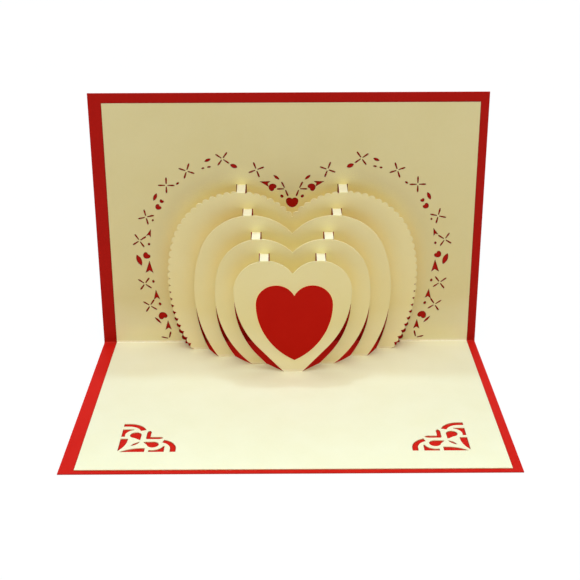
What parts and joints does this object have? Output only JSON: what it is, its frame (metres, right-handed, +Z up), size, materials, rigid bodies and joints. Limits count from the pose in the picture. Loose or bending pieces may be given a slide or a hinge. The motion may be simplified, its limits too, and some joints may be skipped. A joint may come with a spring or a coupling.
{
  "type": "pop-up greeting card",
  "caption": "Open pop-up greeting card: a red folded cover with a cream cut sheet whose nested hearts stand up from the fold, and a red paper heart on the front one",
  "frame": {"origin": "under the middle of the base panel, on the surface the card rests on", "axes": "X along the main fold, Y from the front edge of the base panel to the back panel, Z up"},
  "size_m": [0.15, 0.102, 0.102],
  "materials": {
    "cover_card": "matte dyed card",
    "cream_paper": "smooth matte paper with a faint sheen",
    "red_paper": "matte dyed paper"
  },
  "bodies": {
    "root": {"cover": "cover_card", "insert": "cream_paper", "red_heart": "red_paper"}
  },
  "joints": []
}
